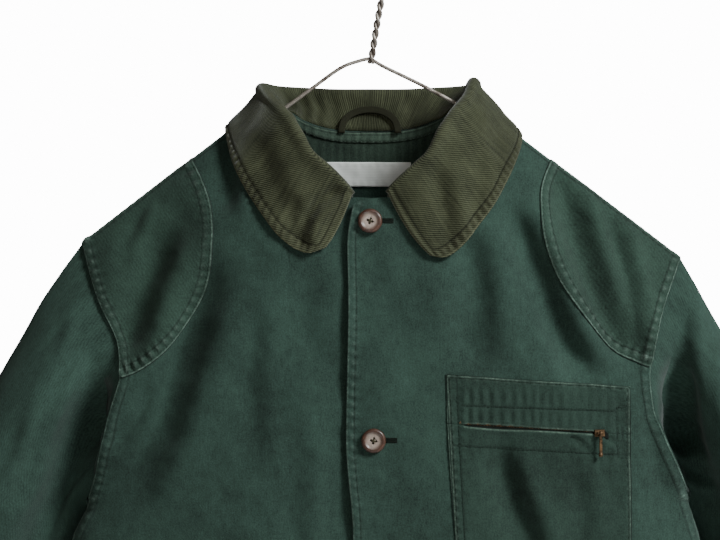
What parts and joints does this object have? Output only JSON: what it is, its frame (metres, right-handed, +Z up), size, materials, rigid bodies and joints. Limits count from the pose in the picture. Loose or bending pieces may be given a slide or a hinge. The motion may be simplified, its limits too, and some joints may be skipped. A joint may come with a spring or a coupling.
{
  "type": "hunting jacket on a wire hanger",
  "caption": "Hip-length canvas hunting jacket with a corduroy collar, shoulder patches, buttoned front and zipped chest pocket, hanging on a twisted wire hanger.",
  "frame": {"origin": "inner top of the hanger's hook, where a rail carries it", "axes": "+Z up, -Y towards the viewer out of the jacket's front, +X towards the wearer's left; the side and shoulder seams lie in the plane Y = 0"},
  "size_m": [1.049, 0.1381, 0.9224],
  "materials": {
    "canvas": "washed cotton canvas, dark green, worn along its seams",
    "corduroy": "fine-waled corduroy, olive brown",
    "button": "half-gloss horn brown",
    "zip_brass": "aged copper brass",
    "zip_tape": "woven tape, black green",
    "label": "woven label, off-white, bare",
    "hanger_steel": "coated steel wire, dull"
  },
  "bodies": {
    "jacket": {"front_right": "canvas", "front_left": "canvas", "back": "canvas", "sleeve_right": "canvas", "sleeve_left": "canvas", "collar": "corduroy", "shoulder_patch_right": "canvas", "shoulder_patch_left": "canvas", "chest_pocket": "canvas", "pocket_zip": "zip_tape", "zip_slider": "zip_brass", "button_1": "button", "button_2": "button", "button_3": "button", "button_4": "button", "neck_facing": "canvas", "neck_tape": "canvas", "neck_label": "label", "hanging_loop": "canvas", "hanger_wire": "hanger_steel"},
    "pull": {"zip_pull": "zip_brass"}
  },
  "joints": [
    {"name": "pull_hinge", "type": "hinge", "parent": "jacket", "child": "pull", "pos_m": [0.19789, -0.05148, -0.44238], "axis": [-0.9853, -0.1711, 0], "range_deg": [0, 120]}
  ]
}
